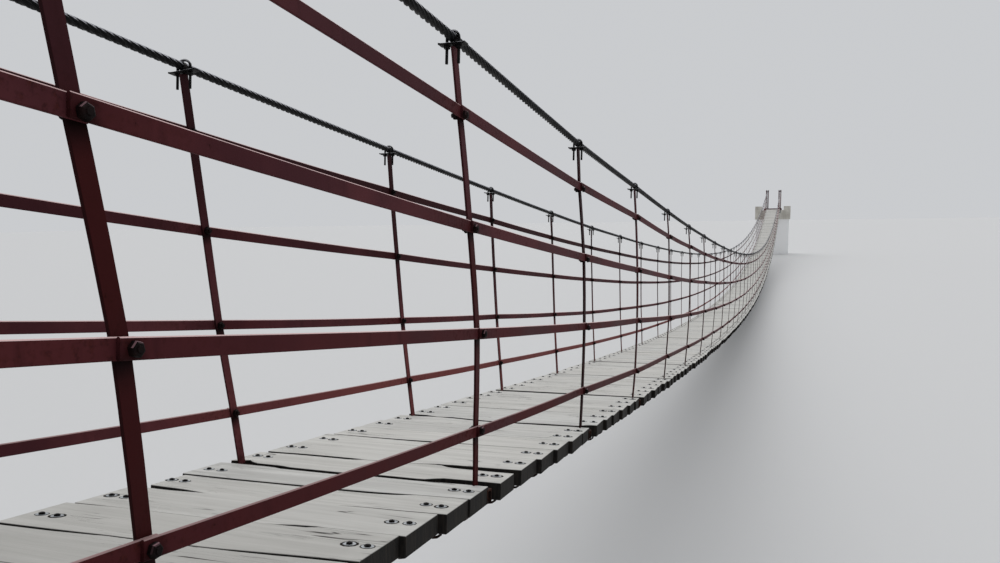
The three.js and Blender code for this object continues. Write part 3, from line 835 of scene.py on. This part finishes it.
# deck
boards = {
    "lines": [0, 228, 431, 636, 852, 1051],  # the joints of each bay, from its frame
    "skew": -30, "frameSkew": -18, "skewSpread": 6, "square": 0.066,  # the boards lie a little askew,
    "skewJoints": 9,  # which grows from nothing over the first joints from either end
    "frameGap": 38, "frameGapSpread": 9, "gap": (1.2, 15), "jitter": 7,
    "wander": 1.3, "waves": (210, 92, 47), "gapWave": 150, "frameGapWave": 240,
    "jointSeed": 41, "boardSeed": 43, "lift": -1.6, "tilt": 0.25,
    "dirt": (0.6, 4.1, 0.45), "dirtSpread": 0.12,  # painted shade: how much at most, at which bay, and how far it reaches; the spread is random dirt on each board
    # under: the share of the sides' painted shade that the undersides get
    "thick": 50, "halfLength": 447, "ragged": 8, "edge": 1.6, "under": 0.8,
    "stations": [37, 37] + 8 * [10],  # along each board, by section
    "bolts": [125, 330, 532, 740, 964, 1140], "boltLine": 390, "boltsApart": 44,
    "boltPlaces": {  # along the left and the right end of these boards, from the frame before them
        26: (510, 585), 27: (720, 785), 28: (942, 975), 29: (1106, 1160), 30: (102, 135),
        31: (302, 363), 32: (508, 565), 33: (730, 778), 34: (957, 982), 35: (1140, 1150),
        36: (138, 180), 37: (332, 368), 38: (552, 585), 39: (760, 785),
    },
    "inward": {26: 20, 27: 16, 28: 14, 29: 8},  # left nuts that stand nearer to the middle
    "ends": {  # how far these boards reach to the right and to the left
        26: (444, 434), 27: (446, 430), 28: (452, 412), 29: (445, 442), 30: (453, 444), 31: (447, 442),
        32: (450, 454), 33: (450, 444), 34: (451, 450),
    },
}
deckRope = {"diameter": 24, "lay": 165, "ringsPerLay": 6, "perStrand": 2, "valley": 0.7, "crown": 1,
            "drop": 64.2, "past": 1.5, "joints": [7.5, 15, 22.5, 27.5, 35, 42.5]}
perBay = len(boards["lines"])
boardCount = bays * perBay
perSection = boardCount // len(boards["stations"])

# joints whose shape is known: (y, nearer edge, further edge), the edges in mm from the frame before the
# joint; joint n lies before board n
knownJoints = {
    26: [(450, 408, 417), (396, 410, 419), (260, 417, 426), (150, 430, 434), (130, 435, 436),
         (50, 437, 438), (-92, 444, 445), (-150, 449, 451), (-180, 450, 456), (-260, 459, 467),
         (-340, 469, 478), (-450, 480, 489)],
    27: [(450, 617, 625), (340, 626, 633), (316, 631, 632), (36, 640, 642), (-92, 648, 650),
         (-140, 655, 658), (-160, 655, 669), (-230, 664, 681), (-245, 676, 678), (-355, 682, 683),
         (-362, 676, 690), (-372, 684, 685), (-450, 689, 690)],
    28: [(450, 833, 868), (390, 831, 866), (300, 831, 862), (240, 838, 852), (215, 842, 844),
         (36, 845, 847), (-92, 861, 862), (-165, 869, 872), (-188, 872, 882), (-268, 880, 891),
         (-325, 882, 893), (-334, 887, 888), (-345, 883, 895), (-450, 893, 906)],
    29: [(450, 1013, 1024), (268, 1011, 1026), (148, 1018, 1031), (36, 1021, 1036), (-80, 1023, 1039),
         (-180, 1029, 1046), (-265, 1042, 1060), (-285, 1062, 1063), (-404, 1076, 1077), (-450, 1077, 1078)],
    30: [(450, -37, 0), (420, -35, 0), (410, -34, 38), (382, -33, 38), (370, -32, -2), (250, -31, -3),
         (235, -42, -14), (36, -43, -15), (-80, -25, 1), (-240, -22, 4), (-258, -19, 41), (-350, -10, 46),
         (-450, -4, 48)],
    31: [(450, 171, 191), (396, 171, 191), (300, 180, 201), (220, 182, 204), (100, 181, 203),
         (86, 194, 198), (76, 196, 197), (-92, 208, 210), (-164, 223, 233), (-215, 226, 238),
         (-228, 199, 240), (-300, 197, 245), (-400, 197, 253), (-450, 199, 258)],
    32: [(450, 404, 405), (36, 414, 416), (-260, 445, 446), (-450, 469, 470)],
    33: [(450, 620, 622), (400, 615, 620), (300, 613, 621), (200, 610, 622), (100, 609, 626),
         (10, 612, 636), (-80, 630, 640), (-124, 634, 640), (-160, 638, 639), (-450, 668, 669)],
    34: [(450, 832, 833), (-450, 881, 882)],
    35: [(450, 1053, 1060), (200, 1056, 1062), (100, 1064, 1065), (-450, 1095, 1096)],
    36: [(450, -4, 46), (330, -4, 46), (318, 10, 20), (240, 11, 28), (228, 8, 38), (180, 2, 28),
         (44, -26, 2), (-108, -18, 16), (-220, -12, 32), (-340, 2, 40), (-384, 3, 42), (-394, 3, 88),
         (-450, 5, 92)],
    37: [(450, 231, 232), (-450, 285, 286)],
    38: [(450, 414, 424), (0, 416, 428), (-150, 430, 436), (-450, 452, 453)],
}
stationY = np.linspace(-450, 450, 37)


def jointTables():
    # nearer and further edge of every joint at each of the station y: line + skew * y / half + wander, a sum
    # of three sines, +- half the gap, which opens and closes along the joint as a sine does
    rng = np.random.default_rng(boards["jointSeed"])
    number = np.arange(boardCount + 1)[:, None]
    y = stationY[None, :]
    atFrame = number % perBay == 0
    spread = rng.uniform(-1, 1, (5, len(number), 1))
    line = np.array(boards["lines"])[number % perBay] + np.where(atFrame, 0, boards["jitter"] * spread[0])
    ease = np.clip(np.minimum(number, boardCount - number) / boards["skewJoints"], 0, 1)
    skew = np.where(atFrame, boards["frameSkew"], boards["skew"]) + boards["skewSpread"] * spread[1]
    phase = rng.uniform(0, 6.28, (5, len(number), 1))
    wave = boards["wander"] * sum(np.sin(y / length + phase[i]) for i, length in enumerate(boards["waves"]))
    least, most = boards["gap"]
    openShare = np.clip(np.sin(y / boards["gapWave"] + phase[3]) * 1.5 + spread[2], 0, 1)
    gap = least + (most - least) * openShare * np.clip(spread[3] + 0.5, 0, 1)
    frameWave = np.sin(y / boards["frameGapWave"] + phase[4]) + spread[4]
    gap = np.where(atFrame, boards["frameGap"] + boards["frameGapSpread"] * ease * frameWave, gap)
    middle = line + ease * skew * y / boards["halfLength"] + wave / 2
    near, far = middle - gap / 2, middle + gap / 2
    for joint, knots in knownJoints.items():
        at, nearer, further = np.array(knots[::-1], float).T
        near[joint] = np.interp(stationY, at, nearer) + wave[joint] / 4
        far[joint] = np.interp(stationY, at, further) + wave[joint] / 4
    return near, far


def boardPlan():
    # edges, ends and small random faults of every board
    rng = np.random.default_rng(boards["boardSeed"])
    near, far = jointTables()
    near = near[1:] + layout["bay"] * (np.arange(1, boardCount + 1) % perBay == 0)[:, None]
    reach = boards["halfLength"] + rng.uniform(-1, 1, (2, boardCount)) * boards["ragged"]
    for board, lengths in boards["ends"].items():
        reach[:, board] = lengths
    amount, where, width = boards["dirt"]  # painted shade, darkest at one bay
    return {
        "low": far[:-1], "high": near, "ends": reach, "lift": rng.uniform(boards["lift"], 0, boardCount),
        "seed": rng.random(boardCount),
        "tilt": np.radians(rng.uniform(-boards["tilt"], boards["tilt"], boardCount)),
        "dirt": amount * hill(np.arange(boardCount) / perBay - where, width)
        + boards["dirtSpread"] * rng.random(boardCount),
    }


plan = boardPlan()


def edgeAt(table, y):
    # an edge at y, linear between the stations
    place = np.clip((y - stationY[0]) / (stationY[1] - stationY[0]), 0, len(stationY) - 1.001)
    i = place.astype(int)
    row = np.arange(len(table))[:, None]
    return table[row, i] + (table[row, i + 1] - table[row, i]) * (place - i)


def boardBase():
    # centre, tangent and normal of each board's top, and how far its middle is from the frame before it
    middle = (plan["low"].mean(1) + plan["high"].mean(1)) / 2
    s = np.repeat(np.arange(bays), perBay) + middle / layout["bay"]
    x, z = arcPoint(s)
    tangent, normal = axesAt(slopeAt(s) + plan["tilt"])
    return vectors(x, 0, z) + plan["lift"][:, None] * normal, tangent, normal, middle


def makeBoards(section, stations):
    # plank section with crisp edges carried across the bridge between its two wandering joints
    part = slice(perSection * section, perSection * (section + 1))
    base, tangent, normal, middle = (values[part] for values in boardBase())
    edge, thick = boards["edge"], boards["thick"]
    right, left = (reach[part, None] for reach in plan["ends"])
    inner = (left - right) / 2 + np.linspace(-1, 1, stations) * ((left + right) / 2 - edge)
    y = np.concatenate([-right, inner, left], 1)
    low = edgeAt(plan["low"][part], y) - middle[:, None]
    high = edgeAt(plan["high"][part], y) - middle[:, None]
    cap = np.zeros_like(y)
    cap[:, [0, -1]] = edge * 0.8
    top, side, bottom = -cap, np.full_like(y, 1 - thick), cap - thick
    ring = vectors(
        np.stack([low + cap, low + edge * 0.8 + cap, high - edge * 0.8 - cap, high - cap,
                  high - cap, high - 1 - cap, low + 1 + cap, low + cap], -1),
        np.stack([top - edge, top, top, top - edge, side, bottom, bottom, side], -1))
    askew = tangent + boards["square"] * yAxis
    rings = carry(base[:, None] + y[..., None] * yAxis, askew[:, None], normal[:, None], ring)
    shape = rings.shape[:-1]
    # painted shade: sides, ends and top edges near black, undersides a little less
    dark = np.ones(shape)
    dark[:, 1:-1, 1:3] = 0
    dark[:, 1:-1, 5:7] = boards["under"]
    values = {label: np.broadcast_to(plan[key][part, None, None], shape)
              for label, key in (("board", "seed"), ("dirt", "dirt"))}
    makePiece(f"boards_{section + 1}", [rings], timber, [f"deck_section_{section + 1}"],
              values={**values, "edge": dark})


crossbeams = {"half": 17, "top": -10, "bottom": -49, "wall": 5, "halfLength": 440}


def makeCrossbeams():
    # upturned channel section carried across the bridge under each pair of posts
    tangent, normal = axesAt(slopeAt(frames))
    x, z = arcPoint(frames)
    w, top, low, wall = (crossbeams[key] for key in ("half", "top", "bottom", "wall"))
    ring = np.array([[-w, low], [-w, top], [w, top], [w, low],
                     [w - wall, low], [w - wall, top - wall], [-w + wall, top - wall], [-w + wall, low]])
    centres = vectors(x[:, None], np.array([-1.0, 1.0]) * crossbeams["halfLength"], z[:, None])
    # the channel's rusty iron is painted darker as shade, since it shows only in the deck's gaps
    makePiece("crossbeams", [carry(centres, tangent[:, None], normal[:, None], ring)], iron["rustyBeamShaded"])


boardBolts = {
    "recess": 19, "recessSize": (0.85, 1.1), "recessProfile": [(-2, 1), (0.25, 1)],
    "washer": (roundRing(14.5, 10), [(0, 1), (0.7, 1)]), "nut": (hexRing(13), [(0.6, 1), (4.2, 0.96)]),
    "tip": (roundRing(4.4, 6), [(4.2, 1), (5.4, 0.9)]), "spread": (1.5, 3), "rod": 4.5, "hoopRise": -17,
    "legTop": 2, "seed": 47,
}


def makeBoardFastenings():
    # at each end of each board a U-bolt round the deck rope, its legs coming up through the board: each has a
    # dark ring on the wood, painted as the shadow of a recess and as stain, a pale washer, a nut and the
    # bolt's tip
    base, tangent, normal, middle = boardBase()
    usual = np.tile(np.array(boards["bolts"]), bays)[:, None]
    bolts = usual - np.array([1.0, -1.0]) * boards["boltLine"] * boards["square"]
    for board, places in boards["boltPlaces"].items():
        bolts[board] = places
    rng = np.random.default_rng(boardBolts["seed"])
    alongY, alongX = boardBolts["spread"]
    column = (len(base), 1)
    recesses, washers, nuts, bars = [], [], [], []
    bend = boards["boltsApart"] / 2
    low = boardBolts["legTop"] - boards["thick"]
    path = hoopPath(bend, boardBolts["hoopRise"], -deckRope["drop"], low, 7)
    for end, hand in enumerate((1, -1)):
        foot = base + (bolts[:, end] - middle)[:, None] * tangent + hand * boards["boltLine"] * yAxis
        head = foot.copy()
        if hand > 0:
            for board, inward in boards["inward"].items():
                head[board, 1] -= inward
        for leg in (-1, 1):
            seat = head + (leg * bend + rng.uniform(-alongY, alongY, column)) * yAxis
            seat = seat + rng.uniform(-alongX, alongX, column) * tangent
            spin = rng.uniform(0, math.pi / 3, len(base))[:, None]
            across = np.cos(spin) * tangent + np.sin(spin) * yAxis
            radius = boardBolts["recess"] * rng.uniform(*boardBolts["recessSize"], len(base))
            recess = (roundRing(1.0, 10) * radius[:, None, None], boardBolts["recessProfile"])
            for group, solid in ((recesses, recess), (washers, boardBolts["washer"]),
                                 (nuts, boardBolts["nut"]), (nuts, boardBolts["tip"])):
                group.append(turned(*solid, seat, normal, across))
        bars.append(hoops(foot, normal, tangent, path, roundRing(boardBolts["rod"], 4, math.pi / 4)))
    # dark rings: the painted shadow of a recess round each bolt, with stain
    makePiece("bolt_rings", recesses, iron["recessShadowStain"])
    makePiece("bolt_washers", washers, zinc)
    makePiece("bolt_nuts", nuts, iron["blackIron"])
    makePiece("deck_u_bolts", bars, iron["darkIron"])


for section, stations in enumerate(boards["stations"]):
    makeBoards(section, stations)
makeCrossbeams()
makeBoardFastenings()
for side in sides:
    x, z = arcPoint(halfBays)
    x[0], x[-1] = -deckRope["past"], spanLength + deckRope["past"]
    path = vectors(x, deckLine[side], z - deckRope["drop"])
    makeStrandedRope(f"{side}_deck_rope", path, 0, deckRope)
print("deck made")

# ends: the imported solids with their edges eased, rope rollers and bolts
endFinish = {  # material, slot and how far the edges are rounded
    "abutment": (concrete, "concrete", 9),
    "end_beam": (paint, "oxide_red_paint", 2.5),
    "portal_post": (paint, "oxide_red_paint", 2.5),
    "back_anchor": (zinc, "zinc_steel", 1.5),
    "deck_anchor": (zinc, "zinc_steel", 1.5),
}
easing = {"merge": 1e-5, "flat": math.radians(1), "sharp": math.radians(40), "steps": 2}


def makeEased(name, node, material, slot, ease):
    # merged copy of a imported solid, whose sharp edges are rounded to the given radius
    mesh = node.data.copy()
    work = bmesh.new()
    work.from_mesh(mesh)
    bmesh.ops.remove_doubles(work, verts=work.verts, dist=easing["merge"])
    bmesh.ops.dissolve_limit(work, angle_limit=easing["flat"], verts=work.verts, edges=work.edges)
    work.to_mesh(mesh)
    work.free()
    mesh.materials.clear()
    mesh.materials.append(material)
    piece = addObject(f"{name}_eased", mesh)
    bevel = piece.modifiers.new("ease", "BEVEL")
    bevel.width = ease * layout["scale"] / 1000
    bevel.segments = easing["steps"]
    bevel.limit_method = "ANGLE"
    bevel.angle_limit = easing["sharp"]
    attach(piece, "root")
    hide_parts(name)


ropeRoller = {
    "wheel": (roundRing(1, 40), [
        (-37.5, 47.2), (-22, 47.2), (-20, 58), (-16, 60), (-12.5, 50), (-9, 47.6),
        (9, 47.6), (12.5, 50), (16, 60), (20, 58), (22, 47.2), (37.5, 47.2)]),
    "head": (hexRing(34), [(0, 1), (7.2, 1), (9, 0.88)]), "legFace": 88,
}
endBolts = {  # section, and profile up from the plate
    "washer": (roundRing(15, 16), [(0, 1), (2.5, 1)]), "nut": (hexRing(19), [(2, 1), (11, 1), (12.5, 0.9)]),
    "stud": (roundRing(6, 10), [(11.5, 1), (20.5, 1), (21.5, 0.8)]),
}
endPlates = [  # each plate's line, and its bolts' places behind the deck's end, beside the line and in height
    (handLine, (206, 274), 101, (-37.4,)),
    (handLine, (1208, 1372), 82, (-29.4,)),
    (deckLine, (3.4,), 76, (-90, -206)),
]


def makeRollers():
    # grooved wheel under each bend of the hand ropes, turned on a pin whose heads show outside the legs
    wheels, heads = [], []
    climb = abs(float(slopeAt(0)))
    for end, side in product(ends, sides):
        inward = 1 if end == "near" else -1
        towardsRope = np.array([inward * math.sin(climb), 0, math.cos(climb)])
        place = ropeBend(end, handLine[side])[:1] - rollerBend * towardsRope
        wheels.append(turned(*ropeRoller["wheel"], place, yAxis, zAxis))
        for hand in (-1, 1):
            face = place + hand * ropeRoller["legFace"] * yAxis
            heads.append(turned(*ropeRoller["head"], face, hand * yAxis, zAxis))
    makePiece("rope_rollers", wheels, zinc)
    makePiece("roller_pins", heads, iron["blackIron"])


def makeEndBolts():
    # washer, nut and stud at the corners of the portal, anchor and deck plates
    seats, axes = [], []
    for end, side, hand, plate in product(ends, sides, (-1, 1), endPlates):
        line, backs, beside, heights = plate
        inward = (1.0 if end == "near" else -1.0, 0.0, 0.0)
        for back, height in product(backs, heights):
            seats.append((endX(end, back), line[side] + hand * beside, height))
            axes.append(inward if line is deckLine else zAxis)
    groups = [turned(*solid, np.array(seats), np.array(axes), yAxis) for solid in endBolts.values()]
    makePiece("end_plate_bolts", groups, iron["darkIron"])


for name, node in list(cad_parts.items()):
    for word, look in endFinish.items():
        if word in name:
            makeEased(name, node, *look)
makeRollers()
makeEndBolts()
print("ends finished")
